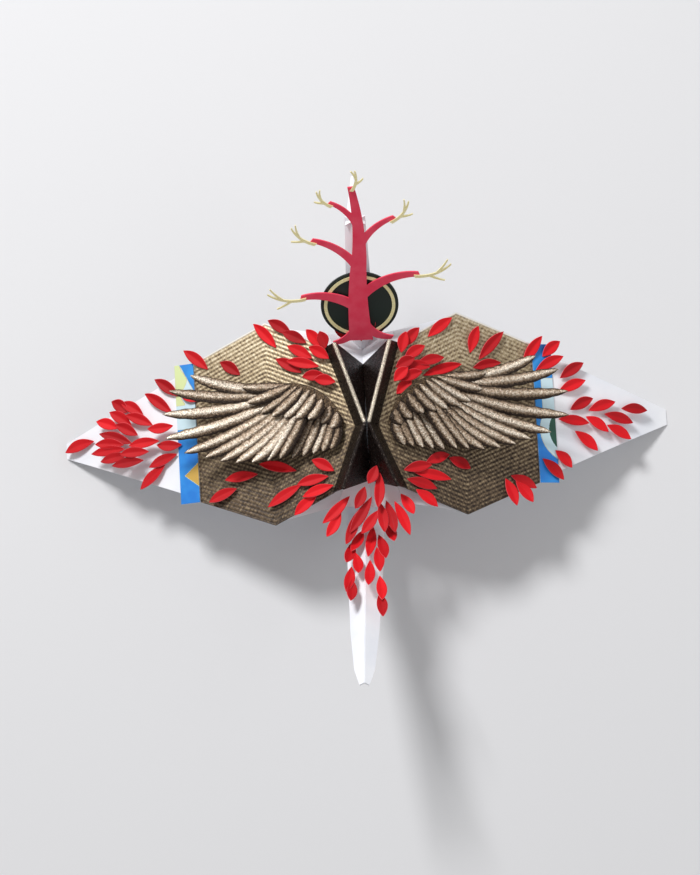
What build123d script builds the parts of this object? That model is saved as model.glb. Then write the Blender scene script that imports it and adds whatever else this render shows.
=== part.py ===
"""A folded paper crane dressed with ribbed panels, bronze feathers, red leaves and a cut-paper tree.

+X runs out along the right wing, +Y towards the head and +Z up. The crane stands on its
keel and its two wing tips, and the origin is on the floor under the middle of the keel.
"""

import os
from math import atan2, cos, radians, sin, sqrt, tan

from build123d import *

os.makedirs("parts", exist_ok=True)

# Folded sheet
paper_side = 75.0  # the square that the crane is folded from
fold_t = 0.2  # two layers of the sheet
film = 0.05  # glue film between one layer and the next
card_t = 0.2  # ribbed panels and bands
leaf_t = 0.12
feather_t = 0.12

# Body and wings
apex_rise = 4.4  # top of the hump above the wing roots
tip_cut = 1.9  # lost at each blunted wing tip
wing_radius = 150.5  # gentle droop of each wing
keel_w = 3.0
keel_l = 13.0
layout = paper_side / 75  # the places listed below are drawn for a 75 mm sheet
half_chord = (sqrt(2) - 1) * paper_side / 2  # half of a wing's width at its root
root_x = sqrt(half_chord ** 2 - apex_rise ** 2)  # wing roots from the middle
wing_run = paper_side / 2 - tip_cut
hump_angle = atan2(apex_rise, root_x)
tip_angle = hump_angle + wing_run / wing_radius
root_z = wing_radius * (cos(hump_angle) - cos(tip_angle)) + fold_t / 2 * cos(tip_angle)  # tips on the floor
apex_z = root_z + apex_rise
groove_y = 13.5 * layout  # outer end of the grooves in front of and behind the hump
groove_half = 5.2
groove_depth = 3.4

# Neck, head and tail
leg_slope = 38.0  # how steeply a leg's two sides fall from its ridge
tail_angle = 34.0
tail_l = 50.0
tail_yaw = -3.5  # the tail is folded a little to the left
tail_start = Vector(0, -1.5, root_z - 11.3)
neck_angle = 46.0
neck_l = 38.0
neck_start = Vector(0, 1.5, root_z - 11.5)
head_angle = -28.0
head_l = 9.0

# Ribbed panels and blue bands
panel_half_root = half_chord + 0.4  # half of the panel's width at the wing root
panel_half_end = 11.0
panel_end_x = root_x + 11.5
band_w = 3.0
crest_top = apex_z + 2.5
crest_foot_x = 0.3  # where the four crests meet
crest_meet_y = -1.8
crest_neck = (4.3 * layout, 11.2 * layout)
crest_tail = (4.3 * layout, -11.8 * layout)
wall_run = 1.3  # how far the outer wall spreads from crest to foot
wall_deep = 0.78  # share of the crest at which the inner wall is deepest
valley_x = 0.2
valley_clear = 0.65  # inner wall above the bottom of the groove
groove_fall = apex_rise / half_chord + groove_depth / groove_y  # of its bottom, for each mm outwards

# Bronze feathers
feather_z = apex_z + 0.4  # height of the feather plane over the middle
feather_fall = 9.5  # slope of the feather plane in degrees
feather_step = 0.16  # one feather on another

# Leaves
leaf_w = 1.75
leaf_bow = 0.12
leaf_step = 0.18
rump_z = root_z + 3.6  # height of the lowest rump leaves over the middle
rump_slope = 5.0

# Cut-paper tree
tree_t = 0.3
disc_r = 6.0
disc_t = 0.3
disc_lift = 1.0  # clear of the leaves on the neck
disc_v = (groove_y - neck_start.Y) / cos(radians(neck_angle)) + disc_r + 0.13  # along the neck
ring_w = 0.5
ring_t = 0.15
twig_w = 0.55
twig_t = 0.2


def finish(name, part):
    """Label a finished piece and write it."""
    part.label = name
    export_step(part, f"parts/{name}.step")


def fold(corners, thickness=fold_t):
    """Add one flat facet of a folded sheet, centred on the plane of its corners."""
    points = [Vector(*corner) for corner in corners]
    along = points[1] - points[0]
    normal = along.cross(points[2] - points[0])
    plane = Plane(origin=points[0], x_dir=along, z_dir=normal)
    flat = [plane.to_local_coords(point) for point in points]
    with BuildSketch(plane) as facet:
        with BuildLine():
            Polyline(*[(point.X, point.Y) for point in flat], close=True)
        make_face()
    extrude(facet.sketch, amount=thickness / 2, both=True)


def surface_point(run, lift):
    """A point of the right-hand wing profile, as (x, z), a given lift above mid-sheet."""
    angle = hump_angle
    x, z = run * cos(angle), apex_z - run * sin(angle)
    root_run = root_x / cos(angle)
    if run > root_run:
        angle = hump_angle + (run - root_run) / wing_radius
        x = root_x + wing_radius * (sin(angle) - sin(hump_angle))
        z = root_z - wing_radius * (cos(hump_angle) - cos(angle))
    return x + lift * sin(angle), z + lift * cos(angle)


def wing_shell(low, high, start=0.0, cut=0.0):
    """Add the wing profile between two lifts, from a start near the middle to the tip."""
    root_run = root_x / cos(hump_angle)
    stops = [start, root_run, root_run + wing_run / 2, root_run + wing_run - cut]
    lower = [surface_point(run, low) for run in stops]
    upper = [surface_point(run, high) for run in stops]
    with BuildSketch(Plane.XZ) as profile:
        with BuildLine():
            Line(lower[0], lower[1])
            ThreePointArc(lower[1], lower[2], lower[3])
            Line(lower[3], upper[3])
            ThreePointArc(upper[3], upper[2], upper[1])
            Line(upper[1], upper[0])
            Line(upper[0], lower[0])
        make_face()
    extrude(profile.sketch, amount=paper_side / 3, both=True)


def trim(outline):
    """Keep only what stands over a plan outline."""
    with BuildSketch(Plane.XY) as plan:
        with BuildLine():
            Polyline(*outline, close=True)
        make_face()
    extrude(plan.sketch, amount=2 * apex_z, both=True, mode=Mode.INTERSECT)


def blade(root, tip, width, bow=0.0):
    """Lines of a pointed blade from root to tip, bowed sideways."""
    middle = (Vector(*root) + Vector(*tip)) / 2
    side = (Vector(*tip) - Vector(*root)).normalized().rotate(Axis.Z, 90)
    ThreePointArc(root, middle + side * (bow + width / 2), tip)
    ThreePointArc(tip, middle + side * (bow - width / 2), root)


def gap_between(first, second):
    """Shortest plan distance between two straight centre lines."""

    def to_line(point, line):
        a, b = line
        run = b - a
        share = max(0.0, min(1.0, (point - a).dot(run) / run.dot(run)))
        return (point - (a + run * share)).length

    def side(point, line):
        return (line[1] - line[0]).cross(point - line[0]).Z

    crossed = (side(first[0], second) * side(first[1], second) < 0
               and side(second[0], first) * side(second[1], first) < 0)
    if crossed:
        return 0.0
    return min([to_line(point, second) for point in first]
               + [to_line(point, first) for point in second])


def stacked(lines, reach, start=0):
    """Layer number of each centre line, each on top of the earlier ones that it crosses."""
    levels = []
    for index, line in enumerate(lines):
        under = [levels[other] + 1 for other in range(index)
                 if gap_between(line, lines[other]) < reach]
        levels.append(max(under, default=start))
    return levels


# Crane: hump, wings, keel, grooves, neck, head and tail of one sheet
tip_half = half_chord * tip_cut / (paper_side / 2)
tip_x = surface_point(root_x / cos(hump_angle) + wing_run, 0)[0]


def leg_frame(start, angle, toward, yaw=0.0):
    """Start, direction along the ridge and direction square to it, of a leg turned by yaw."""
    rise = Vector(0, toward * cos(radians(angle)), sin(radians(angle)))
    up = Vector(0, -toward * sin(radians(angle)), cos(radians(angle)))
    return [vector.rotate(Axis.Z, yaw) for vector in (start, rise, up)]


def leg_facets(frame, length, widths):
    """Add a leg's two sides: widths lists (share of the length, half width) to its tip."""
    start, rise, up = frame
    for hand in (-1, 1):
        across = rise.cross(up) * hand - up * tan(radians(leg_slope))
        edge = [start + rise * (length * share) + across * half for share, half in widths]
        fold([start, start + rise * length, *reversed(edge)])


tail_frame = leg_frame(tail_start, tail_angle, -1, tail_yaw)
neck_frame = leg_frame(neck_start, neck_angle, 1)
head_frame = leg_frame(neck_start + neck_frame[1] * neck_l, head_angle, 1)

with BuildPart() as crane:
    wing_shell(-fold_t / 2, fold_t / 2, start=-fold_t)
    trim([(0, -0.4), (root_x, -half_chord), (tip_x + 1, -tip_half), (tip_x + 1, tip_half),
          (root_x, half_chord), (0, 0.4)])
    mirror(about=Plane.YZ)
    for end in (-1, 1):
        ridge_z = apex_z - apex_rise * groove_y / half_chord
        rim = (groove_half, end * groove_y, ridge_z)
        valley = (0, end * groove_y, ridge_z - groove_depth)
        for hand in (-1, 1):
            rim_here = (hand * rim[0], rim[1], rim[2])
            fold([(0, 0, apex_z), (hand * root_x, end * half_chord, root_z), rim_here])
            fold([(0, 0, apex_z), rim_here, valley])
    for hand in (-1, 1):
        fold([(hand * keel_w / 2, -keel_l / 2, fold_t / 2), (hand * keel_w / 2, keel_l / 2, fold_t / 2),
              (hand * root_x, half_chord, root_z), (hand * root_x, -half_chord, root_z)])
    with BuildSketch(Plane.XY):
        Rectangle(keel_w, keel_l)
    extrude(amount=fold_t)
    leg_facets(tail_frame, tail_l, [(0, 3.0), (0.5, 2.7), (0.78, 2.1), (0.93, 1.5), (1, 0.7)])
    leg_facets(neck_frame, neck_l, [(0, 2.6), (1, 1.5)])
    leg_facets(head_frame, head_l, [(0, 1.5), (1, 0.15)])
finish("crane", crane.part)
print("crane", crane.part.is_valid, len(crane.solids()), crane.part.bounding_box())


def finish_pair(name, part):
    """Write a right-hand piece and its mirror image."""
    finish(f"{name}_left", mirror(part, about=Plane.YZ))
    finish(f"{name}_right", part)


# Ribbed panel of each wing: one sheet, flat on the wing and folded up into the crests
card_low = fold_t / 2 + film
card_high = card_low + card_t
wall_rise = crest_top - (apex_z - (crest_foot_x + wall_run) * tan(hump_angle) + card_high)


def hump_height(x):
    """Height of the panel's mid-thickness over the hump."""
    return apex_z - x * tan(hump_angle) + (card_low + card_high) / 2 / cos(hump_angle)


def wall_facets(end):
    """Add the outer and inner wall between the meeting point and the end of one crest."""
    feet = [(x + wall_run, y, hump_height(x + wall_run)) for x, y in ((crest_foot_x, crest_meet_y), end)]
    crests = [(x - wall_run, y, z + wall_rise) for x, y, z in feet]
    depth_y = crest_meet_y + wall_deep * (end[1] - crest_meet_y)
    valley = (valley_x, depth_y, apex_z + valley_clear - groove_fall * abs(depth_y))
    fold([*crests, *reversed(feet)], card_t)
    fold([*crests, valley], card_t)


with BuildPart() as panel:
    wing_shell(card_low, card_high, start=1.5)
    neck_foot = (crest_neck[0] + wall_run, crest_neck[1])
    tail_foot = (crest_tail[0] + wall_run, crest_tail[1])
    trim([(crest_foot_x + wall_run, crest_meet_y), tail_foot, (root_x, -panel_half_root),
          (panel_end_x, -panel_half_end), (panel_end_x, panel_half_end),
          (root_x, panel_half_root), neck_foot])
    wall_facets(crest_neck)
    wall_facets(crest_tail)
finish_pair("wing_panel", panel.part)
print("panel", panel.part.is_valid, len(panel.solids()))

band_x = panel_end_x + 2 * film
with BuildPart() as band:
    wing_shell(card_low, card_high, start=1.5)
    trim([(band_x, -panel_half_end), (band_x + band_w, -panel_half_end),
          (band_x + band_w, panel_half_end), (band_x, panel_half_end)])
finish_pair("wing_band", band.part)

# Bronze feather wings: the arm that carries the feathers, then each feather on the ones below
slope = radians(feather_fall)
feather_plane = Plane(origin=(0, 0, feather_z), x_dir=(cos(slope), 0, -sin(slope)),
                      z_dir=(sin(slope), 0, cos(slope)))
primary_roots = [(12.6 - 0.28 * i, 4.9 - 0.42 * i) for i in range(9)]
primary_tips = [(27.0, 8.0), (30.4, 5.8), (31.6, 2.4), (31.4, -1.4), (28.4, -4.0),
                (25.2, -5.0), (22.8, -5.8), (20.4, -6.3), (17.8, -6.5)]
secondary_roots = [(9.9 - 0.95 * i, 1.5 - 0.42 * i) for i in range(7)]
secondary_tips = [(15.4, -6.4), (13.5, -6.3), (11.8, -6.1), (10.1, -5.9), (8.5, -5.7),
                  (7.0, -5.5), (5.7, -5.2)]
covert_roots = [(12.2 - 0.98 * i, 5.3 - 0.05 * i - 0.07 * i * i) for i in range(9)]
covert_tips = [(19.0, 5.6), (18.2, 3.0), (16.2, 1.2), (14.3, 0.4), (12.4, 0.0),
               (10.5, -0.3), (8.6, -0.6), (6.9, -1.1), (5.4, -2.0)]
kinds = [(primary_roots, primary_tips, 1.55, -0.9), (secondary_roots, secondary_tips, 1.3, -0.25),
         (covert_roots, covert_tips, 1.35, -0.3)]  # the last two are width and bow
feathers = [(Vector(*root) * layout, Vector(*tip) * layout, width, bow)
            for roots, tips, width, bow in kinds for root, tip in zip(roots, tips)]
laid_order = [*range(9), 9, 11, 13, 15, 10, 12, 14, 16, 24, 22, 20, 18, 23, 21, 19, 17]
centre_lines = [feathers[i][:2] for i in laid_order]
levels = dict(zip(laid_order, stacked(centre_lines, 1.3, start=1)))

with BuildPart() as arm:
    with BuildSketch(feather_plane) as arm_plan:
        with BuildLine():
            corners = [Vector(*point) * layout for point in
                       ((3.4, -1.6), (6.4, 3.6), (12.6, 5.8), (13.4, 2.8), (8.4, 1.0), (4.6, -2.2))]
            ThreePointArc(*corners[:3])
            Line(corners[2], corners[3])
            ThreePointArc(*corners[3:])
            Line(corners[5], corners[0])
        make_face()
    extrude(amount=feather_t)
finish_pair("feather_arm", arm.part)


def feather(index):
    """One bronze feather in its layer."""
    root, tip, width, bow = feathers[index]
    with BuildPart() as piece:
        with BuildSketch(feather_plane.offset(levels[index] * feather_step)):
            with BuildLine():
                blade(root, tip, width, bow)
            make_face()
        extrude(amount=feather_t)
    return piece.part


for index in range(9):
    finish_pair(f"primary_{index + 1}", feather(index))
for index in range(7):
    finish_pair(f"secondary_{index + 1}", feather(9 + index))
finish_pair("coverts", Compound([feather(16 + index) for index in range(9)]))
print("feather layers", max(levels.values()))

# Red leaves. Each is (x, y, heading in degrees, length) from its stalk end.
left_tip_leaves = [
    (-29.7, -3.0, 201, 5.0), (-31.7, -4.5, 222, 5.6), (-43.0, 0.9, 196, 5.2),
    (-29.1, 6.1, 138, 4.9), (-30.2, 3.5, 137, 5.8), (-34.9, 4.0, 144, 4.2),
    (-37.3, 4.6, 137, 3.2), (-33.4, 2.0, 152, 4.8), (-36.8, 2.4, 141, 4.3), (-38.9, 2.2, 155, 3.8),
    (-35.8, 0.6, 148, 4.2), (-36.8, -0.6, 156, 5.8), (-34.2, 1.2, 2, 4.1), (-32.9, -1.3, -5, 4.0),
    (-32.4, -0.8, 184, 5.0), (-38.1, -0.7, 172, 4.7), (-37.9, -1.4, 182, 5.6), (-37.6, -2.4, 190, 4.4),
    (-34.1, -2.4, 180, 4.7), (-35.0, -3.7, 184, 5.2)]
left_wing_leaves = [
    (-13.3, 11.8, 128, 5.6), (-10.8, 13.6, 143, 4.6), (-8.6, 12.0, 150, 4.3), (-7.8, 9.4, 147, 4.6),
    (-9.6, 7.4, 146, 4.8), (-6.8, 8.0, 165, 5.4), (-6.4, 10.9, 122, 3.9), (-5.8, 6.4, 178, 3.8),
    (-5.2, 9.0, 144, 3.8), (-4.4, 5.2, 168, 3.4), (-5.7, 10.6, 101, 3.0),
    (-24.2, 9.7, 136, 5.2), (-19.2, 8.2, 141, 3.9), (-25.6, 5.0, 158, 3.4), (-11.2, -7.8, 164, 6.2),
    (-17.2, -7.7, 186, 5.4), (-20.6, -9.6, 203, 4.9), (-10.5, -10.0, 211, 6.6), (-8.3, -12.0, 218, 4.6),
    (-6.3, -9.2, 191, 5.2), (-5.6, -10.7, 196, 5.2), (-5.4, -8.5, 148, 4.0)]
right_wing_leaves = [
    (4.9, 3.0, 40, 3.2), (10.3, 12.0, 38, 5.1), (16.7, 9.4, 72, 4.8), (18.0, 8.3, 48, 6.4), (24.9, 7.6, 56, 6.0),
    (28.1, 9.0, 41, 3.9), (26.9, 6.7, 28, 5.2), (9.2, 5.9, 16, 6.6), (17.0, 7.0, 10, 4.6),
    (6.3, 10.3, 50, 4.3), (6.4, 8.5, 32, 4.0), (6.3, 7.4, -4, 4.2), (8.4, 7.7, 12, 4.4),
    (5.4, 5.0, 20, 4.0), (6.0, 9.4, 76, 3.6), (5.0, 7.0, 26, 3.4),
    (4.6, 4.8, 44, 3.2), (21.9, -9.9, -30, 4.6), (21.0, -10.4, -72, 4.8),
    (22.6, -10.9, -56, 4.4), (8.8, -7.8, 18, 4.0), (12.4, -7.1, -30, 3.8), (5.7, -10.3, -20, 5.0),
    (6.7, -9.2, -13, 6.2), (5.3, -9.0, 10, 4.6), (7.0, -12.0, -42, 4.4)]
right_tip_leaves = [
    (30.7, 5.6, 34, 4.7), (30.3, 3.4, 24, 4.9), (32.0, 0.6, 27, 4.2), (30.0, -0.9, -8, 5.0),
    (34.9, 0.5, 19, 4.7), (34.4, -0.5, -36, 4.3), (37.4, 0.0, -18, 4.8), (40.2, 0.9, -3, 4.2),
    (37.7, -1.8, -34, 4.4), (32.5, -2.8, -45, 4.8), (29.2, -5.9, -51, 3.8), (27.1, -7.2, -50, 4.8)]
rump_leaves = [
    (-3.2, -12.4, -137, 6.5), (-4.7, -14.8, -122, 4.9), (3.6, -13.6, -69, 6.2), (4.6, -12.5, -62, 4.4),
    (2.3, -13.4, -78, 6.0), (-2.0, -14.6, -112, 6.6), (0.2, -12.7, -124, 7.2), (1.3, -13.6, -84, 5.4),
    (1.0, -14.9, -128, 4.8), (-0.8, -11.1, -116, 4.0), (1.6, -9.1, -96, 6.1), (1.2, -8.0, -118, 3.4)]
tail_leaves = [
    (-1.9, -21.8, -101, 6.4), (1.1, -18.6, -96, 7.6), (2.0, -20.6, -78, 6.4), (3.0, -17.8, -74, 6.2),
    (-0.4, -19.6, -110, 6.0), (1.7, -23.4, -84, 5.8), (-1.5, -24.6, -84, 5.8), (0.7, -26.2, -92, 7.0),
    (-2.1, -27.6, -98, 6.0), (2.2, -29.6, -86, 6.2), (-2.0, -30.4, -92, 5.6), (2.2, -33.2, -84, 5.8)]
nape_leaves = [
    (-0.7, 16.6, 148, 4.4), (0.7, 16.8, 34, 4.4), (-0.5, 17.2, 118, 4.0), (0.6, 17.4, 64, 4.0),
    (0.0, 16.4, 96, 4.6)]


def leaf_line(leaf):
    """Centre line of a leaf, from its stalk end to its tip."""
    x, y, heading, length = leaf
    start = Vector(x, y) * layout
    return start, start + Vector(length * layout, 0).rotate(Axis.Z, heading)


def wing_leaves(leaves, hand):
    """Leaves that follow the curve of one wing, each over the ones glued before it."""
    lines = [tuple(Vector(hand * point.X, point.Y) for point in leaf_line(leaf)) for leaf in leaves]
    pieces = []
    for line, level in zip(lines, stacked(lines, leaf_w)):
        low = card_high + film + level * leaf_step
        with BuildPart() as leaf:
            wing_shell(low, low + leaf_t, start=1.5)
            with BuildSketch(Plane.XY) as outline:
                with BuildLine():
                    blade(*line, leaf_w, leaf_bow)
                make_face()
            extrude(outline.sketch, amount=2 * apex_z, both=True, mode=Mode.INTERSECT)
        pieces.append(leaf.part if hand > 0 else mirror(leaf.part, about=Plane.YZ))
    return Compound(pieces)


def flat_leaves(leaves, plane):
    """Leaves in layers parallel to one plane."""
    lines = [leaf_line(leaf) for leaf in leaves]
    pieces = []
    for line, level in zip(lines, stacked(lines, leaf_w)):
        with BuildPart() as leaf:
            with BuildSketch(plane.offset(level * leaf_step)):
                with BuildLine():
                    blade(*line, leaf_w, leaf_bow)
                make_face()
            extrude(amount=leaf_t)
        pieces.append(leaf.part)
    return Compound(pieces)


def ridge_plane(frame, lift):
    """Plane over a leg's ridge: local Y runs along the ridge towards the head's end."""
    start, rise, up = frame
    across = rise.cross(up)
    return Plane(origin=start + up * lift, x_dir=across if across.X > 0 else -across, z_dir=up)


ridge_lift = fold_t / 2 / cos(radians(leg_slope)) + film
rump_plane = Plane(origin=(0, 0, rump_z), x_dir=(1, 0, 0), z_dir=(0, -tan(radians(rump_slope)), 1))
tail_plane = ridge_plane(tail_frame, ridge_lift)
nape_plane = ridge_plane(neck_frame, ridge_lift)

finish("leaves_left_tip", wing_leaves(left_tip_leaves, -1))
finish("leaves_left_wing", wing_leaves(left_wing_leaves, -1))
finish("leaves_right_wing", wing_leaves(right_wing_leaves, 1))
finish("leaves_right_tip", wing_leaves(right_tip_leaves, 1))
finish("leaves_rump", flat_leaves(rump_leaves, rump_plane))
finish("leaves_tail", flat_leaves(tail_leaves, tail_plane))
finish("leaves_nape", flat_leaves(nape_leaves, nape_plane))

# Ornament on the neck: a dark disc with a gold ring, and a cut-paper tree with gold twigs
with BuildPart() as disc:
    with BuildSketch(nape_plane.offset(disc_lift)):
        with Locations((0, disc_v)):
            Circle(disc_r)
    extrude(amount=disc_t)
finish("backing_disc", disc.part)

ring_lift = disc_lift + disc_t + film
with BuildPart() as ring:
    with BuildSketch(nape_plane.offset(ring_lift)):
        with Locations((0, disc_v)):
            Circle(disc_r - ring_w)
            Circle(disc_r - 2 * ring_w, mode=Mode.SUBTRACT)
    extrude(amount=ring_t)
finish("disc_ring", ring.part)


def limb(root, tip, root_w, tip_w, bow):
    """Add a tapered, bowed limb to the sketch being drawn."""
    middle = (Vector(*root) + Vector(*tip)) / 2
    side = (Vector(*tip) - Vector(*root)).normalized().rotate(Axis.Z, 90)
    middle_w = (root_w + tip_w) / 2
    far = Vector(*tip) + side * tip_w / 2
    near = Vector(*root) - side * root_w / 2
    with BuildLine() as outline:
        ThreePointArc(Vector(*root) + side * root_w / 2, middle + side * (bow + middle_w / 2), far)
        Line(far, far - side * tip_w)
        ThreePointArc(far - side * tip_w, middle + side * (bow - middle_w / 2), near)
        Line(near, near + side * root_w)
    make_face(outline.edges())


tree_foot = disc_v - 6.2  # foot of the tree along the neck
tree_plane_lift = ring_lift + ring_t + film
tree_limbs = [  # root, tip, width at the root and the tip, and bow
    ((0.0, tree_foot), (0.3, tree_foot + 15.2), 3.6, 2.3, 0.35),
    ((0.3, tree_foot + 15.0), (-0.4, tree_foot + 28.0), 2.3, 1.0, -0.4),
    ((-0.6, tree_foot + 3.0), (-4.2, tree_foot - 0.3), 1.8, 0.7, 0.8),
    ((0.6, tree_foot + 3.2), (4.8, tree_foot + 0.2), 1.8, 0.7, -0.8),
    ((-0.4, tree_foot + 6.0), (-9.0, tree_foot + 8.4), 1.9, 0.9, -1.1),
    ((0.6, tree_foot + 8.4), (9.4, tree_foot + 11.6), 1.8, 0.9, 1.1),
    ((-0.2, tree_foot + 13.6), (-6.8, tree_foot + 18.8), 1.5, 0.8, -0.9),
    ((0.4, tree_foot + 16.8), (6.0, tree_foot + 22.2), 1.3, 0.7, 0.9),
    ((-0.1, tree_foot + 21.6), (-3.8, tree_foot + 25.4), 1.0, 0.6, -0.5)]
with BuildPart() as tree:
    with BuildSketch(nape_plane.offset(tree_plane_lift)):
        for root, tip, root_w, tip_w, bow in tree_limbs:
            limb(root, tip, root_w, tip_w, bow)
    extrude(amount=tree_t)
finish("paper_tree", tree.part)

twig_lift = tree_plane_lift + tree_t + film
twigs = [  # where it is glued, heading, length and the side of its fork
    ((-8.2, tree_foot + 8.3), 168, 6.0, 1), ((8.6, tree_foot + 11.4), 18, 6.0, -1),
    ((-6.2, tree_foot + 18.2), 138, 4.8, 1), ((5.4, tree_foot + 21.4), 52, 4.6, -1),
    ((-3.4, tree_foot + 24.8), 128, 3.6, 1), ((-0.3, tree_foot + 27.4), 80, 3.6, -1)]
for index, (foot, heading, length, hand) in enumerate(twigs):
    along = Vector(length, 0).rotate(Axis.Z, heading)
    foot = Vector(*foot)
    with BuildPart() as twig:
        with BuildSketch(nape_plane.offset(twig_lift)):
            limb(foot, foot + along, twig_w, 0.25, 0.12 * length * hand)
            for share, turn in ((0.35, 42 * hand), (0.6, -36 * hand)):
                fork = foot + along * share + along.rotate(Axis.Z, 90) * 0.1 * hand
                limb(fork, fork + along.rotate(Axis.Z, turn) * 0.45, 0.4, 0.2, 0.1 * hand)
        extrude(amount=twig_t)
    finish(f"gold_twig_{index + 1}", twig.part)
print("solids", sum(len(part.solids()) for part in (tree.part, disc.part, ring.part)))
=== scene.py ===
import bpy
import numpy as np
from math import atan2, cos, pi, radians, sin, tan
from mathutils import Matrix, Vector


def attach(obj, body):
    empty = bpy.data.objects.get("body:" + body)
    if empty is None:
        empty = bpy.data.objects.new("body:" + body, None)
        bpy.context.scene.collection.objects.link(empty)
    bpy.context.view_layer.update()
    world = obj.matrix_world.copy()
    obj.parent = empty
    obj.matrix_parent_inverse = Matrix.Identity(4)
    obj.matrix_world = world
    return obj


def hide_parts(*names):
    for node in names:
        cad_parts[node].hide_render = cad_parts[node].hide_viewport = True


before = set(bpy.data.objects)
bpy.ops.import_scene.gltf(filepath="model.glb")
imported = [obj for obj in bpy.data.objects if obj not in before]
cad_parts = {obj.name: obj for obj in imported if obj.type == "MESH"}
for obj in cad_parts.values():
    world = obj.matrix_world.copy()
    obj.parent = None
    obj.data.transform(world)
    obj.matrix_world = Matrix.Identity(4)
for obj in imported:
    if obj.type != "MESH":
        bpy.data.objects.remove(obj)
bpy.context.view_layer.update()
mm = 0.001
rng = np.random.default_rng(7)
sides = (("left", -1), ("right", 1))


def hexColour(code):
    # sRGB hex to linear RGBA
    srgb = np.array([int(code[i:i + 2], 16) for i in (1, 3, 5)]) / 255
    linear = np.where(srgb <= 0.04045, srgb / 12.92, ((srgb + 0.055) / 1.055) ** 2.4)
    return (*[float(c) for c in linear], 1.0)


def patternScale(size):
    # texture scale, in repeats per metre, of a pattern that repeats every so many mm
    return 1000 / size


def addNode(tree, kind, settings=None, stops=None, **links):
    # one node with its settings; stops are (place, hex) for a colour ramp; links are
    # input name = socket or value, with _ for spaces, or _0, _1 for an input's number
    node = tree.nodes.new(kind)
    for key, value in (settings or {}).items():
        setattr(node, key, value)
    if stops:
        elements = node.color_ramp.elements
        while len(elements) < len(stops):
            elements.new(0.5)
        for element, (place, code) in zip(elements, stops):
            element.position, element.color = place, hexColour(code)
    for key, value in links.items():
        socket = node.inputs[int(key[1:])] if key[1:].isdigit() else node.inputs[key.replace("_", " ")]
        if isinstance(value, bpy.types.NodeSocket):
            tree.links.new(value, socket)
        else:
            socket.default_value = value
    return node


def newMaterial(name, **inputs):
    # a Principled material with plain numbers set on its own sockets
    material = bpy.data.materials.new(name)
    material.use_nodes = True
    tree = material.node_tree
    shader = tree.nodes["Principled BSDF"]
    for key, value in inputs.items():
        shader.inputs[key.replace("_", " ")].default_value = value
    return material, tree, shader


def closedSheet(top, thickness, tone=0.0, extra=None):
    # a grid of points (rows, columns) becomes a closed sheet: the under side lies one thickness
    # below along the grid's own normals, and a rim of quads joins the two; tone is one shade for
    # the whole sheet and extra is a value for each point, both read by the materials
    rows, cols = top.shape[:2]
    along = np.gradient(top, axis=0)
    across = np.gradient(top, axis=1)
    normal = np.cross(along, across)
    normal /= np.linalg.norm(normal, axis=-1, keepdims=True) + 1e-12
    points = np.concatenate([top.reshape(-1, 3), (top - normal * thickness).reshape(-1, 3)])
    i = np.arange(rows * cols).reshape(rows, cols)
    quads = np.stack([i[:-1, :-1], i[1:, :-1], i[1:, 1:], i[:-1, 1:]], -1).reshape(-1, 4)
    ring = np.concatenate([i[0, :], i[1:, -1], i[-1, -2::-1], i[-2:0:-1, 0]])
    following = np.roll(ring, -1)
    under = rows * cols
    rim = np.stack([ring, following, following + under, ring + under], -1)
    faces = np.concatenate([quads, quads[:, ::-1] + under, rim])
    kinds = np.concatenate([np.zeros(2 * len(quads), int), np.ones(len(rim), int)])
    u, v = np.meshgrid(np.linspace(0, 1, rows), np.linspace(0, 1, cols), indexing="ij")
    uv = np.tile(np.stack([u, v], -1).reshape(-1, 2), (2, 1))
    field = np.zeros(rows * cols) if extra is None else np.asarray(extra).reshape(-1)
    return {"points": points, "faces": faces, "kinds": kinds, "uv": uv,
            "tone": np.full(len(points), tone), "field": np.tile(field, 2)}


def buildPiece(name, sheets, materials, nodes):
    # joins closed sheets into one mesh object, which stands for its CAD nodes; the first
    # material is for the faces of the sheets and the second for their cut edges
    starts = np.cumsum([0] + [len(s["points"]) for s in sheets[:-1]])
    points = np.concatenate([s["points"] for s in sheets])
    faces = np.concatenate([s["faces"] + start for s, start in zip(sheets, starts)])
    kinds = np.concatenate([s["kinds"] for s in sheets])
    uv = np.concatenate([s["uv"] for s in sheets])
    mesh = bpy.data.meshes.new(name)
    mesh.vertices.add(len(points))
    mesh.vertices.foreach_set("co", points.astype("f4").ravel())
    mesh.loops.add(faces.size)
    mesh.loops.foreach_set("vertex_index", faces.astype("i4").ravel())
    mesh.polygons.add(len(faces))
    mesh.polygons.foreach_set("loop_start", np.arange(0, faces.size, 4, dtype="i4"))
    mesh.polygons.foreach_set("material_index", kinds.astype("i4"))
    mesh.polygons.foreach_set("use_smooth", kinds == 0)
    layer = mesh.uv_layers.new(name="sheet")
    layer.data.foreach_set("uv", uv[faces.ravel()].astype("f4").ravel())
    for key in ("tone", "field"):
        attribute = mesh.attributes.new(key, "FLOAT", "POINT")
        attribute.data.foreach_set("value", np.concatenate([s[key] for s in sheets]).astype("f4"))
    mesh.update(calc_edges=True)
    mesh.validate()
    for material in materials:
        mesh.materials.append(material)
    piece = bpy.data.objects.new(name, mesh)
    bpy.context.scene.collection.objects.link(piece)
    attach(piece, "root")
    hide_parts(*nodes)
    return piece


def nodeTriangles(node):
    # corner points of a CAD node's loose triangles, as (triangles, 3, 3)
    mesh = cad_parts[node].data
    points = np.empty(len(mesh.vertices) * 3, "f4")
    mesh.vertices.foreach_get("co", points)
    corners = np.empty(len(mesh.loops), "i4")
    mesh.loops.foreach_get("vertex_index", corners)
    return points.reshape(-1, 3)[corners].reshape(-1, 3, 3).astype(float)


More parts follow.
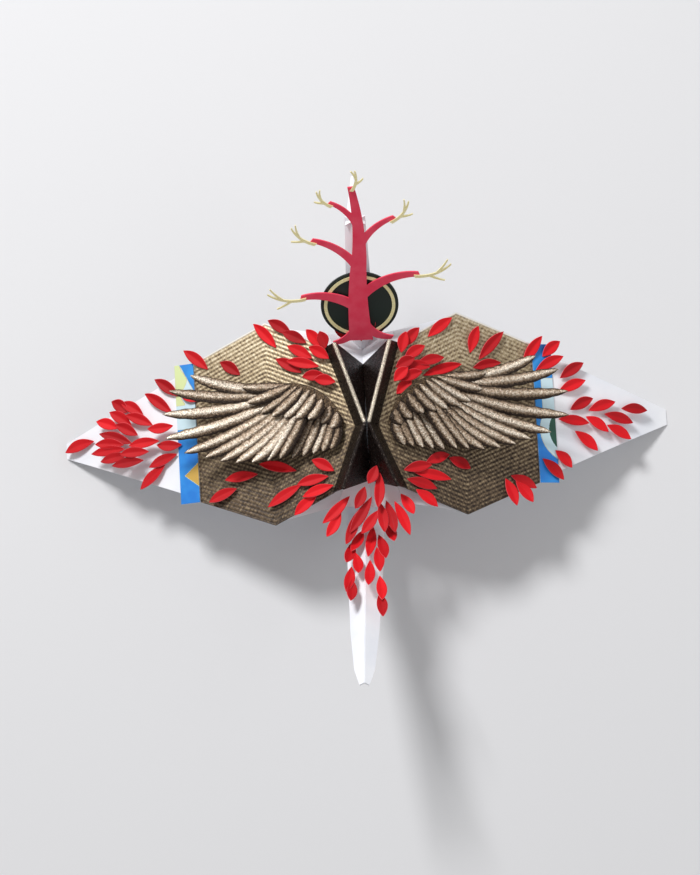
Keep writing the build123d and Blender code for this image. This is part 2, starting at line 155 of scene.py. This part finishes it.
def islands(node):
    # splits a node into its separate solids: touching corners keep passing on the lowest label
    triangles = nodeTriangles(node)
    unique, index = np.unique(np.round(triangles.reshape(-1, 3), 7), axis=0, return_inverse=True)
    index = index.reshape(-1, 3)
    label = np.arange(len(unique))
    while True:
        lowest = label[index].min(axis=1)
        before = label.copy()
        np.minimum.at(label, index.ravel(), np.repeat(lowest, 3))
        if (before == label).all():
            break
    owner = label[index[:, 0]]
    return [triangles[owner == one] for one in np.unique(owner)]


def readBlade(triangles, tipScore):
    # a pointed flat blade's ends are its two furthest points; each rim point at share f of the
    # length lies 4 f (1 - f) h to the side, which gives the two arcs' heights h, and from them
    # the bow and the width
    points = np.unique(np.round(triangles.reshape(-1, 3), 7), axis=0)
    gaps = np.linalg.norm(points[:, None] - points[None], axis=-1)
    first, second = np.unravel_index(gaps.argmax(), gaps.shape)
    root, tip = points[first], points[second]
    if tipScore(root) > tipScore(tip):
        root, tip = tip, root
    cross = np.cross(triangles[:, 1] - triangles[:, 0], triangles[:, 2] - triangles[:, 0])
    normal = cross[cross[:, 2] > 0].sum(axis=0)
    normal /= np.linalg.norm(normal)
    along = tip - root
    along -= normal * (along @ normal)
    length = np.linalg.norm(along)
    along /= length
    side = np.cross(normal, along)
    share = (points - root) @ along / length
    middle = (share > 0.2) & (share < 0.8)
    heights = ((points - root) @ side)[middle] / (4 * share * (1 - share))[middle]
    level = ((points - root) @ normal).max()
    return {"root": root + normal * level, "along": along, "side": side, "normal": normal,
            "length": length, "bow": (heights.max() + heights.min()) / 2,
            "width": heights.max() - heights.min()}


def paperBump(tree, shader, strength, grain=0.25):
    # fibres of uncoated paper: fine noise, its grain given in mm
    place = addNode(tree, "ShaderNodeTexCoord").outputs["Object"]
    fibres = addNode(tree, "ShaderNodeTexNoise", Vector=place, Scale=patternScale(grain),
                     Detail=4.0, Roughness=0.6)
    bump = addNode(tree, "ShaderNodeBump", Height=fibres.outputs["Fac"], Strength=strength,
                   Distance=0.02 * mm)
    tree.links.new(bump.outputs["Normal"], shader.inputs["Normal"])
    return fibres.outputs["Fac"]


def makeWhitePaper():
    # smooth white folding paper, very slightly blue, with faint handling marks about 8 mm wide
    material, tree, shader = newMaterial("white folding paper", Roughness=0.62)
    paperBump(tree, shader, 0.35)
    place = addNode(tree, "ShaderNodeTexCoord").outputs["Object"]
    marks = addNode(tree, "ShaderNodeTexNoise", Vector=place, Scale=patternScale(8.333), Detail=3.0)
    colour = addNode(tree, "ShaderNodeValToRGB", Fac=marks.outputs["Fac"],
                     stops=[(0.3, "#E6E9F1"), (0.62, "#F4F5F9")])
    tree.links.new(colour.outputs["Color"], shader.inputs["Base Color"])
    return material


def makeRedPaper(name, dark, light):
    # dyed matt paper: the dye clouds a little over 2 mm, and each leaf has a tone of its own
    material, tree, shader = newMaterial(name, Roughness=0.65, Specular_IOR_Level=0.3)
    paperBump(tree, shader, 0.5, grain=0.3)
    tone = addNode(tree, "ShaderNodeAttribute", {"attribute_name": "tone"}).outputs["Fac"]
    place = addNode(tree, "ShaderNodeTexCoord").outputs["Object"]
    cloud = addNode(tree, "ShaderNodeTexNoise", Vector=place, Scale=patternScale(2), Detail=3.0)
    mixed = addNode(tree, "ShaderNodeMath", {"operation": "MULTIPLY_ADD"},
                    _0=cloud.outputs["Fac"], _1=0.35, _2=tone)
    colour = addNode(tree, "ShaderNodeValToRGB", Fac=mixed.outputs["Value"],
                     stops=[(0.1, dark), (0.9, light)])
    tree.links.new(colour.outputs["Color"], shader.inputs["Base Color"])
    return material


def makeCutEdge(name, colour, grain, **inputs):
    # a cut edge shows the paper's paler core, with loose fibres
    material, tree, shader = newMaterial(name, **inputs)
    shader.inputs["Base Color"].default_value = hexColour(colour)
    paperBump(tree, shader, 0.5, grain=grain)
    return material


def makeBronzePaint(name, dark, middle, light):
    # paper brushed with metallic bronze: darker where the grain noise is low and brighter where it is
    # high, plus the field attribute, which carries painted light and shade, with glinting flakes; the
    # flakes are drawn larger than real ones, so that they show
    flake, grainSize = 0.14, 0.32  # mm
    material, tree, shader = newMaterial(name, Metallic=0.6, Roughness=0.4)
    place = addNode(tree, "ShaderNodeTexCoord").outputs["Object"]
    field = addNode(tree, "ShaderNodeAttribute", {"attribute_name": "field"}).outputs["Fac"]
    tone = addNode(tree, "ShaderNodeAttribute", {"attribute_name": "tone"}).outputs["Fac"]
    flakes = addNode(tree, "ShaderNodeTexVoronoi", Vector=place, Scale=patternScale(flake))
    grain = addNode(tree, "ShaderNodeTexNoise", Vector=place, Scale=patternScale(grainSize),
                    Detail=4.0, Roughness=0.75)
    shade = addNode(tree, "ShaderNodeMath", {"operation": "MULTIPLY_ADD"},
                    _0=grain.outputs["Fac"], _1=0.85, _2=field)
    shade = addNode(tree, "ShaderNodeMath", {"operation": "MULTIPLY_ADD"},
                    _0=tone, _1=0.14, _2=shade.outputs["Value"])
    colour = addNode(tree, "ShaderNodeValToRGB", Fac=shade.outputs["Value"],
                     stops=[(0.3, dark), (0.52, middle), (0.8, light)])
    tree.links.new(colour.outputs["Color"], shader.inputs["Base Color"])
    rough = addNode(tree, "ShaderNodeMapRange", Value=flakes.outputs["Color"], To_Min=0.18, To_Max=0.42)
    tree.links.new(rough.outputs["Result"], shader.inputs["Roughness"])
    bump = addNode(tree, "ShaderNodeBump", Height=flakes.outputs["Color"], Strength=1.0,
                   Distance=0.06 * mm)
    bump = addNode(tree, "ShaderNodeBump", Height=grain.outputs["Fac"], Strength=1.0,
                   Distance=0.12 * mm, Normal=bump.outputs["Normal"])
    tree.links.new(bump.outputs["Normal"], shader.inputs["Normal"])
    return material


def makeRibbedBronze(rib, weave):
    # ribbed woven paper coloured with bronze: the colour follows the relief, lighter on the rib tops
    # as painted light and darker in the grooves as painted shade, and painted shade darkens the panel
    # towards the tail; UV runs in mm, x along the ribs and y across them; the threads that cross the
    # ribs are drawn a little coarser than real ones, so that they show
    material, tree, shader = newMaterial("ribbed bronze paper", Metallic=0.5, Roughness=0.5)
    uv = addNode(tree, "ShaderNodeUVMap", {"uv_map": "sheet"}).outputs["UV"]
    place = addNode(tree, "ShaderNodeTexCoord").outputs["Object"]
    parts = addNode(tree, "ShaderNodeSeparateXYZ", Vector=uv)

    # ribs wander by 0.2 mm over about 4 mm, and every half rib shifts the threads
    wander = addNode(tree, "ShaderNodeTexNoise", Vector=place, Scale=patternScale(3.846), Detail=2.0)
    bent = addNode(tree, "ShaderNodeMath", {"operation": "MULTIPLY_ADD"},
                   _0=wander.outputs["Fac"], _1=0.22, _2=parts.outputs["Y"])
    across = addNode(tree, "ShaderNodeMath", {"operation": "MULTIPLY"},
                     _0=bent.outputs["Value"], _1=2 * pi / rib)
    ribs = addNode(tree, "ShaderNodeMath", {"operation": "COSINE"}, _0=across.outputs["Value"])
    row = addNode(tree, "ShaderNodeMath", {"operation": "DIVIDE"}, _0=bent.outputs["Value"], _1=rib / 2)
    row = addNode(tree, "ShaderNodeMath", {"operation": "ROUND"}, _0=row.outputs["Value"])
    shift = addNode(tree, "ShaderNodeMath", {"operation": "MULTIPLY"}, _0=row.outputs["Value"], _1=2.3)
    along = addNode(tree, "ShaderNodeMath", {"operation": "MULTIPLY_ADD"},
                    _0=parts.outputs["X"], _1=2 * pi / weave, _2=shift.outputs["Value"])
    threads = addNode(tree, "ShaderNodeMath", {"operation": "SINE"}, _0=along.outputs["Value"])

    wear = addNode(tree, "ShaderNodeTexNoise", Vector=place, Scale=patternScale(0.5),
                   Detail=5.0, Roughness=0.75)
    relief = addNode(tree, "ShaderNodeMath", {"operation": "MULTIPLY_ADD"},
                     _0=ribs.outputs["Value"], _1=0.085, _2=wear.outputs["Fac"])
    relief = addNode(tree, "ShaderNodeMath", {"operation": "MULTIPLY_ADD"},
                     _0=threads.outputs["Value"], _1=0.05, _2=relief.outputs["Value"])
    headwards = addNode(tree, "ShaderNodeSeparateXYZ", Vector=place).outputs["Y"]
    # painted shade: the panel is darker towards the tail and lighter towards the head
    paintedShadeTailwards = addNode(tree, "ShaderNodeMapRange", Value=headwards, From_Min=-14 * mm, From_Max=13 * mm,
                     To_Min=-0.2, To_Max=0.12)
    reliefAndPaintedShade = addNode(tree, "ShaderNodeMath", {"operation": "ADD"},
                    _0=relief.outputs["Value"], _1=paintedShadeTailwards.outputs["Result"])
    # the ramp's dark end is painted shade in the grooves and its light end painted light on the rib tops
    colour = addNode(tree, "ShaderNodeValToRGB", Fac=reliefAndPaintedShade.outputs["Value"],
                     stops=[(0.2, "#2E241D"), (0.42, "#6C5A46"), (0.6, "#AD9A7A"), (0.8, "#D8CBB0")])
    bare = addNode(tree, "ShaderNodeAttribute", {"attribute_name": "field"}).outputs["Fac"]
    mixed = addNode(tree, "ShaderNodeMix", {"data_type": "RGBA"}, _0=bare,
                    _6=colour.outputs["Color"], _7=hexColour("#EFEBE2"))
    tree.links.new(mixed.outputs[2], shader.inputs["Base Color"])
    bump = addNode(tree, "ShaderNodeBump", Height=relief.outputs["Value"], Strength=0.5,
                   Distance=0.05 * mm)
    tree.links.new(bump.outputs["Normal"], shader.inputs["Normal"])
    return material


fieldNumbers = {"blue": 0.0, "lime": 0.3, "gold": 0.55, "sky": 0.8, "green": 1.0}


def makePrintedBand():
    # satin card printed in flat fields: a field number picks a colour, and 0 is the blue ground,
    # whose ink is a little uneven over 4 mm
    material, tree, shader = newMaterial("printed blue card", Roughness=0.45)
    paperBump(tree, shader, 0.4, grain=0.35)
    field = addNode(tree, "ShaderNodeAttribute", {"attribute_name": "field"}).outputs["Fac"]
    place = addNode(tree, "ShaderNodeTexCoord").outputs["Object"]
    patch = addNode(tree, "ShaderNodeTexNoise", Vector=place, Scale=patternScale(4), Detail=3.0)
    ground = addNode(tree, "ShaderNodeValToRGB", Fac=patch.outputs["Fac"],
                     stops=[(0.35, "#1478D2"), (0.65, "#2F97E6")])
    printed = addNode(tree, "ShaderNodeValToRGB", Fac=field,
                      stops=[(0.0, "#1B7FCF"), (0.25, "#D6E2A4"), (0.5, "#C9A24A"),
                             (0.75, "#CDE7F0"), (0.95, "#17503F")])
    printed.color_ramp.interpolation = "CONSTANT"
    choice = addNode(tree, "ShaderNodeMath", {"operation": "GREATER_THAN"}, _0=field, _1=0.2)
    mixed = addNode(tree, "ShaderNodeMix", {"data_type": "RGBA"}, _0=choice.outputs["Value"],
                    _6=ground.outputs["Color"], _7=printed.outputs["Color"])
    tree.links.new(mixed.outputs[2], shader.inputs["Base Color"])
    return material


def makeDarkCard():
    # thick card of a green that is nearly black, with a soft gloss
    material, tree, shader = newMaterial("black-green card", Roughness=0.5)
    shader.inputs["Base Color"].default_value = hexColour("#10201A")
    paperBump(tree, shader, 0.6)
    return material


def makePaleGold():
    # pale gold paper: a low metallic glow over a fine mottle
    material, tree, shader = newMaterial("pale gold paper", Metallic=0.2, Roughness=0.42)
    grain = paperBump(tree, shader, 0.6, grain=0.2)
    colour = addNode(tree, "ShaderNodeValToRGB", Fac=grain, stops=[(0.3, "#E9DA92"), (0.7, "#FDF5CB")])
    tree.links.new(colour.outputs["Color"], shader.inputs["Base Color"])
    return material


def makeStudioFloor(colour):
    # matt painted board, so that only the soft shadow shows
    material, tree, shader = newMaterial("matt studio floor", Roughness=0.9)
    shader.inputs["Base Color"].default_value = hexColour(colour)
    return material


whitePaper = makeWhitePaper()
redLeaf = makeRedPaper("red dyed paper", "#98000C", "#E00C1A")
redEdge = makeCutEdge("cut edge of the red paper", "#E8606A", 0.3, Roughness=0.65, Specular_IOR_Level=0.3)
redCard = makeRedPaper("red card", "#E23552", "#FF8A9E")
# the light stop shows on the feathers' headward halves as painted light
bronzeFeather = makeBronzePaint("bronze painted paper", "#33271F", "#957E67", "#FBF0DF")
# near-black: painted shade for the valley between the crest walls; its light stop shows only as the painted
# highlight on the crests
darkBronzeShade = makeBronzePaint("dark bronze paper and painted shade", "#0E0A09", "#2A1E1A", "#CFC4B2")
armBronze = makeBronzePaint("bronze painted card", "#1B1410", "#6E5840", "#B39C7C")
printedBand = makePrintedBand()
cardEdge = makeCutEdge("cut edge of card", "#DCE6EE", 0.25, Roughness=0.7)
darkCard = makeDarkCard()
paleGold = makePaleGold()
print("materials ready")

# the wing's upper surface, in mm, which everything is glued to
wing = {"rootX": 14.895, "rootZ": 14.094, "apexRise": 4.4, "radius": 150.5}


def wingHeight(x, lift):
    # height in mm of a layer over the wing: a straight hump, then one long arc, lifted square to it
    start = atan2(wing["apexRise"], wing["rootX"])
    hump = wing["rootZ"] + wing["apexRise"] - x * tan(start) + lift / cos(start)
    radius = wing["radius"] + lift
    centreX = wing["rootX"] - wing["radius"] * sin(start)
    centreZ = wing["rootZ"] - wing["radius"] * cos(start)
    arc = centreZ + np.sqrt(np.maximum(radius ** 2 - (x - centreX) ** 2, 0))
    return np.where(x < wing["rootX"] + lift * sin(start), hump, arc)


def mirrored(grid, hand):
    # the left-hand copy of a grid: x changes sign and the columns are turned round
    return grid if hand > 0 else (grid * [-1, 1, 1])[:, ::-1]


def lineDistance(x, y, start, end):
    # distance of points from the line through two plan points
    run = np.array(end) - np.array(start)
    return np.abs((x - start[0]) * run[1] - (y - start[1]) * run[0]) / np.hypot(*run)


# lengths in mm; wallDeep is the share of a wall at which the valley between the walls ends; the highlight
# entries set a painted highlight along the wall crests
panel = {"halfRoot": 15.93, "halfEnd": 11.0, "endX": 26.39, "lift": 0.35, "thickness": 0.2,
         "meet": (0.3, -1.8, 20.99), "neckEnd": (4.3, 11.2), "tailEnd": (4.3, -11.8),
         "wallRun": 1.3, "wallDeep": 0.78, "wallFootLift": 0.25, "valleyX": 0.04,
         "valleyClear": 0.65, "valleyFall": 0.535, "rib": 0.62, "weave": 0.5, "ribHeight": 0.02,
         "border": 0.3, "highlightWidth": 0.2, "neckHighlight": 1.0, "tailHighlight": 0.04}
ribbedBronze = makeRibbedBronze(panel["rib"], panel["weave"])


def panelSheet(hand):
    # main sheet: straight lines run from the walls' feet to the wing root, and from there to the
    # outer end; ribs are a cosine of the distance to the nearest outer edge, and the rim towards
    # the head stays unpainted
    t = np.linspace(-1, 1, 301)
    feet = [(place[0] + panel["wallRun"], place[1]) for place in
            (panel["tailEnd"], panel["meet"], panel["neckEnd"])]
    innerX = np.interp(t, [-1, 0, 1], [x for x, y in feet])
    innerY = np.interp(t, [-1, 0, 1], [y for x, y in feet])
    s = np.linspace(0, 1, 30)[:, None]
    inner = np.stack([innerX + (wing["rootX"] - innerX) * s,
                      innerY + (panel["halfRoot"] * t - innerY) * s], -1)
    s = np.linspace(0, 1, 34)[1:, None]
    outer = np.stack([wing["rootX"] + (panel["endX"] - wing["rootX"]) * s + 0 * t,
                      (panel["halfRoot"] + (panel["halfEnd"] - panel["halfRoot"]) * s) * t], -1)
    x, y = np.moveaxis(np.concatenate([inner, outer]), -1, 0)
    edges = [np.minimum(lineDistance(x, y, foot, (wing["rootX"], turn * panel["halfRoot"])),
                        lineDistance(x, y, (wing["rootX"], turn * panel["halfRoot"]),
                                     (panel["endX"], turn * panel["halfEnd"])))
             for foot, turn in ((feet[0], -1), (feet[2], 1))]
    rib = np.where(t > 0, edges[1], edges[0])
    border = np.clip(1.8 * (1 - rib / panel["border"]), 0, 1) * (t > 0)
    z = wingHeight(x, panel["lift"]) + panel["ribHeight"] * np.cos(2 * pi * rib / panel["rib"])
    sheet = closedSheet(mirrored(np.stack([x, y, z], -1), hand) * mm, panel["thickness"] * mm,
                        extra=border if hand > 0 else border[:, ::-1])
    along = mirrored(np.stack([x, rib, z], -1), hand)[..., :2] * [hand, 1]
    sheet["uv"] = np.tile(along.reshape(-1, 2), (2, 1))
    return sheet


def wallSheet(end, hand, crestHighlight):
    # a wall rises from its foot on the hump to the crest, folds over and falls to the valley:
    # straight lines run down both sides from a straight crest, along which a painted highlight
    # follows a bell curve of the distance to it
    meet = np.array(panel["meet"])
    deepShare = panel["wallDeep"]
    footZ = wingHeight(np.array([meet[0], end[0]]) + panel["wallRun"], panel["wallFootLift"])
    rise = meet[2] - footZ[0]
    r = np.linspace(0.004, 0.996, 90)[:, None]
    line = np.array([end[0], end[1], footZ[1] + rise]) - meet
    crest = meet + line * r
    foot = crest + [panel["wallRun"], 0, -rise]
    deep = meet[1] + deepShare * (end[1] - meet[1])
    valley = np.array([panel["valleyX"], deep, wing["rootZ"] + wing["apexRise"]
                       + panel["valleyClear"] - panel["valleyFall"] * abs(deep)])
    low = np.where(r < deepShare, meet + (valley - meet) * r / deepShare,
                   valley + (meet + line - valley) * (r - deepShare) / (1 - deepShare))
    q = np.concatenate([np.linspace(-1, 0, 12)[:-1], np.linspace(0, 1, 18)])[None, :, None]
    target = np.where(q < 0, foot[:, None], low[:, None])
    grid = crest[:, None] + (target - crest[:, None]) * np.abs(q)
    fromCrest = np.linalg.norm(grid - crest[:, None], axis=-1)
    # painted highlight along the crest, strongest on the crest line
    paintedHighlight = np.exp(-(fromCrest / panel["highlightWidth"]) ** 2) * crestHighlight
    grid = grid * [hand, 1, 1]
    if (end[1] > meet[1]) == (hand > 0):  # keeps the faces outwards
        grid, paintedHighlight = grid[:, ::-1], paintedHighlight[:, ::-1]
    return closedSheet(grid * mm, panel["thickness"] * mm, extra=paintedHighlight)


for side, hand in sides:
    buildPiece(f"ribbed_panel_{side}", [panelSheet(hand)], [ribbedBronze, darkBronzeShade],
               [f"wing_panel_{side}"])
    # the head-side crest gets the full painted highlight, the tail-side crest almost none
    walls = [wallSheet(panel["neckEnd"], hand, panel["neckHighlight"]),
             wallSheet(panel["tailEnd"], hand, panel["tailHighlight"])]
    # the walls are near-black as painted shade in the valley between them
    buildPiece(f"crest_walls_{side}", walls, [darkBronzeShade, darkBronzeShade],
               [f"wing_panel_{side}"])
print("panels ready")

# lengths in mm, x out along the wing and y towards the head
band = {"startX": 26.5, "endX": 29.5, "half": 11.0, "lift": 0.35, "thickness": 0.2,
        "skyFrom": 0.8, "limeFrom": 4.6, "limeEdge": 28.2, "limeWave": 0.5, "waveRate": 1.3,
        "wedgeFrom": 6.4, "wedgeSlope": 0.48, "goldY": -6.6, "goldTip": 28.7, "goldSlope": 0.85,
        "ringMiddle": (32.3, -2.7), "ringOuter": 5.3, "ringInner": 3.9,
        "blockY": (0.4, 5.6), "blockX": 27.6}


def bandSheet(hand):
    # strip across the wing: x runs over its width and y over its length; fields are simple shapes
    # worked out from the distance to a line or to a circle's middle
    u, v = np.meshgrid(np.linspace(0, 1, 40), np.linspace(-1, 1, 260), indexing="ij")
    x = band["startX"] + (band["endX"] - band["startX"]) * u
    y = band["half"] * v
    z = wingHeight(x, band["lift"])
    field = np.full(x.shape, fieldNumbers["blue"])
    if hand < 0:
        shore = band["limeEdge"] + band["limeWave"] * np.sin(y * band["waveRate"])
        wedge = (y > band["wedgeFrom"]) & (x - band["startX"] < band["wedgeSlope"] * (y - band["wedgeFrom"]))
        field[y > band["skyFrom"]] = fieldNumbers["sky"]
        field[(y > band["limeFrom"]) & (x > shore)] = fieldNumbers["lime"]
        field[wedge] = fieldNumbers["blue"]
        field[np.abs(y - band["goldY"]) < band["goldSlope"] * (band["goldTip"] - x)] = fieldNumbers["gold"]
    else:
        ring = np.hypot(x - band["ringMiddle"][0], y - band["ringMiddle"][1])
        block = (y > band["blockY"][0]) & (y < band["blockY"][1]) & (x > band["blockX"])
        field[ring < band["ringOuter"]] = fieldNumbers["sky"]
        field[ring < band["ringInner"]] = fieldNumbers["green"]
        field[block] = fieldNumbers["sky"]
    grid = mirrored(np.stack([x, y, z], -1), hand)
    return closedSheet(grid * mm, band["thickness"] * mm, extra=field if hand > 0 else field[:, ::-1])


for side, hand in sides:
    buildPiece(f"printed_band_{side}", [bandSheet(hand)], [printedBand, cardEdge],
               [f"wing_band_{side}"])
print("bands ready")

# heights in mm; spread widens the vane over the flat CAD blade, and rates are in radians over
# the feather's length or half width
plume = {"thickness": 0.1, "camber": 0.32, "rachis": 0.04, "crinkle": 0.02, "twist": 0.1,
         "spread": 1.27, "widenBy": 0.3, "notch": 0.06, "notchRate": 55, "crinkleRate": 90,
         "tipRise": 0.9, "primaryRise": (0.7, 1.3), "secondaryRise": (0.2, 0.5),
         "covertRise": (0.1, 0.3), "toneRange": (-0.5, 0.5), "bodyShade": 0.14, "shadeReach": 8.0}


def featherSheet(read, rise, tone, hand):
    # s runs from root to tip and t across; the half width grows fast from the quill, stays nearly
    # even and closes near the tip; the vane is a ridge of 1 - |t| to the power 1.15, carries a
    # round rachis along t = 0, is crinkled by crossed sines, and its tip curls up as s cubed
    s, t = np.meshgrid(np.linspace(0.0, 1, 40), np.linspace(-1, 1, 17), indexing="ij")
    bulge = np.clip(np.minimum(s / plume["widenBy"], 1) ** 0.55 * (1 - s ** 7) ** 0.75, 0, 1)
    half = read["width"] / 2 * plume["spread"] * bulge + 0.02 * mm
    notch = plume["notch"] * mm * np.sin(s * plume["notchRate"] + tone * 9) * t ** 2 * bulge
    centre = read["root"] + read["along"] * (read["length"] * s)[..., None]
    centre = centre + read["side"] * (read["bow"] * 4 * s * (1 - s))[..., None]
    crinkle = np.sin(s * plume["crinkleRate"] + tone * 20 - 4 * np.abs(t)) * np.sin(t * 7 + s * 20)
    lift = plume["camber"] * (1 - np.abs(t) ** 1.15) * bulge
    lift = lift + plume["rachis"] * np.exp(-(t / 0.14) ** 2) * (1 - 0.6 * s)
    lift = lift + rise * s ** 3 + plume["twist"] * t * bulge + plume["crinkle"] * crinkle * bulge
    top = centre + read["side"] * (half * t + notch)[..., None] + read["normal"] * (lift * mm)[..., None]
    # painted light and shade: the headward half is lighter as painted light, the edges are darker as painted
    # shade where feathers overlap, it lightens a little towards the tip, and painted shade darkens it towards
    # the body
    field = 0.12 * np.tanh(6 * (hand * t + 0.3)) + 0.42 * (1 - np.abs(t) ** 3) + 0.08 * s - 0.36
    field = field - plume["bodyShade"] * np.exp(-(top[..., 0] / (plume["shadeReach"] * mm)) ** 2)
    return closedSheet(top, plume["thickness"] * mm, tone=tone, extra=field)


def outward(point, hand):
    # distance of a feather's end from the body, for telling its root from its tip
    return point[0] * hand - 0.15 * point[1]


for side, hand in sides:
    for kind, count in (("primary", 9), ("secondary", 7)):
        for number in range(1, count + 1):
            node = f"{kind}_{number}_{side}"
            read = readBlade(nodeTriangles(node), lambda point: outward(point, hand))
            rise = plume["tipRise"] * rng.uniform(*plume[f"{kind}Rise"])
            tone = rng.uniform(*plume["toneRange"])
            buildPiece(f"feather_{node}", [featherSheet(read, rise, tone, hand)],
                       [bronzeFeather, darkBronzeShade], [node])
    reads = [readBlade(triangles, lambda point: outward(point, hand))
             for triangles in islands(f"coverts_{side}")]
    sheets = [featherSheet(read, rng.uniform(*plume["covertRise"]), rng.uniform(*plume["toneRange"]), hand)
              for read in reads]
    buildPiece(f"covert_feathers_{side}", sheets, [bronzeFeather, darkBronzeShade],
               [f"coverts_{side}"])
print("feathers ready")

# heights in mm; narrow makes the leaf slimmer than its flat CAD blade, and reach shortens it
leafShape = {"thickness": 0.1, "fold": 0.3, "point": 1.08, "narrow": 0.87, "reach": 0.985,
             "curlReach": 0.1, "curlRange": (0.4, 1.4), "twistRange": (-0.2, 0.2),
             "toneRange": (0.05, 0.75)}
# each group's way of telling tip from stalk, and how far its leaves curl up
leafGroups = {
    "leaves_left_tip": (lambda p: -p[0], 0.7), "leaves_left_wing": (lambda p: -p[0], 0.55),
    "leaves_right_wing": (lambda p: p[0], 0.55), "leaves_right_tip": (lambda p: p[0], 0.5),
    "leaves_rump": (lambda p: -p[1], 0.9), "leaves_tail": (lambda p: -p[1], 1.0),
    "leaves_nape": (lambda p: p[1] + 0.2 * abs(p[0]), 0.4)}


def leafSheet(read, curl, twist, tone):
    # s runs from stalk to tip and t across; half the width is the arc pair's 4 s (1 - s) to a power,
    # the two sides rise from the midrib by |t|, and the whole leaf lifts with the square of s and
    # reaches less far the more it curls
    s, t = np.meshgrid(np.linspace(0, 1, 20), np.linspace(-1, 1, 11), indexing="ij")
    bulge = np.clip(4 * s * (1 - s), 0, 1)
    half = read["width"] / 2 * leafShape["narrow"] * bulge ** leafShape["point"] + 0.015 * mm
    reach = leafShape["reach"] * s - leafShape["curlReach"] * curl * s ** 3
    centre = read["root"] + read["along"] * (read["length"] * reach)[..., None]
    centre = centre + read["side"] * (read["bow"] * 4 * s * (1 - s))[..., None]
    lift = leafShape["fold"] * np.abs(t) * bulge + curl * s ** 2 + twist * t * s * bulge
    top = centre + read["side"] * (half * t)[..., None] + read["normal"] * (lift * mm)[..., None]
    return closedSheet(top, leafShape["thickness"] * mm, tone=tone)


for node, (score, curl) in leafGroups.items():
    sheets = [leafSheet(readBlade(triangles, score), curl * rng.uniform(*leafShape["curlRange"]),
                        rng.uniform(*leafShape["twistRange"]), rng.uniform(*leafShape["toneRange"]))
              for triangles in islands(node)]
    buildPiece(f"red_{node}", sheets, [redLeaf, redEdge], [node])
print("leaves ready")

# pieces that keep their CAD shape
kept = {"crane": whitePaper, "feather_arm_left": armBronze, "feather_arm_right": armBronze,
        "backing_disc": darkCard, "disc_ring": paleGold, "paper_tree": redCard}
kept.update({f"gold_twig_{number}": paleGold for number in range(1, 7)})
for node, material in kept.items():
    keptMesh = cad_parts[node].data
    if not keptMesh.materials:
        keptMesh.materials.append(material)
    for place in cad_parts[node].material_slots:
        place.material = material
print("kept pieces have their materials")

# metres and watts
studio = {"span": 2.0, "floorColour": "#D9D9DB", "sky": 0.42, "aim": (0, 0, 0.015),
          "keyPlace": (-0.18, 0.3, 0.42), "keyWatts": 2.4, "keySize": 0.14,
          "fillPlace": (0.4, -0.1, 0.35), "fillWatts": 0.4, "fillSize": 0.4}


def makeFloor():
    floorMesh = bpy.data.meshes.new("floor")
    h = studio["span"] / 2
    floorMesh.from_pydata([(-h, -h, 0), (h, -h, 0), (h, h, 0), (-h, h, 0)], [], [(0, 1, 2, 3)])
    floorMesh.materials.append(makeStudioFloor(studio["floorColour"]))
    floor = bpy.data.objects.new("floor", floorMesh)
    bpy.context.scene.collection.objects.link(floor)


def addLamp(name, place, watts, size):
    data = bpy.data.lights.new(name, "AREA")
    data.energy, data.shape, data.size = watts, "DISK", size
    lamp = bpy.data.objects.new(name, data)
    lamp.location = place
    lamp.rotation_euler = (Vector(studio["aim"]) - Vector(place)).to_track_quat("-Z", "Y").to_euler()
    bpy.context.scene.collection.objects.link(lamp)


def makeSky():
    world = bpy.data.worlds.new("studio")
    world.use_nodes = True
    background = world.node_tree.nodes["Background"]
    background.inputs["Color"].default_value = (1, 1, 1, 1)
    background.inputs["Strength"].default_value = studio["sky"]
    bpy.context.scene.world = world


makeFloor()
addLamp("key lamp", studio["keyPlace"], studio["keyWatts"], studio["keySize"])
addLamp("fill lamp", studio["fillPlace"], studio["fillWatts"], studio["fillSize"])
makeSky()

# degrees and metres; tall is the height of the view at the object, and right and down shift it
view = {"elevation": 80.0, "roll": 3.3, "distance": 0.6, "tall": 0.1356, "sensor": 24.0,
        "look": (0.0, 0.0, 0.0141), "right": -0.0025, "down": -0.0029}


def makeCamera():
    # looks along +Y from above the tail, turned a little about its own line of sight
    tilt = radians(90 - view["elevation"])
    turn = Matrix.Rotation(tilt, 4, "X") @ Matrix.Rotation(radians(-view["roll"]), 4, "Z")
    data = bpy.data.cameras.new("camera")
    data.sensor_fit = "VERTICAL"
    data.sensor_height = view["sensor"]
    data.lens = view["sensor"] * view["distance"] / view["tall"]
    data.clip_start = 0.01
    camera = bpy.data.objects.new("camera", data)
    middle = Vector(view["look"]) + turn.to_3x3() @ Vector((view["right"], view["down"], 0))
    camera.matrix_world = Matrix.Translation(middle + turn.to_3x3() @ Vector((0, 0, view["distance"]))) @ turn
    bpy.context.scene.collection.objects.link(camera)
    bpy.context.scene.camera = camera


makeCamera()
bpy.context.scene.view_settings.view_transform = "Standard"
print("floor, lights and camera ready")
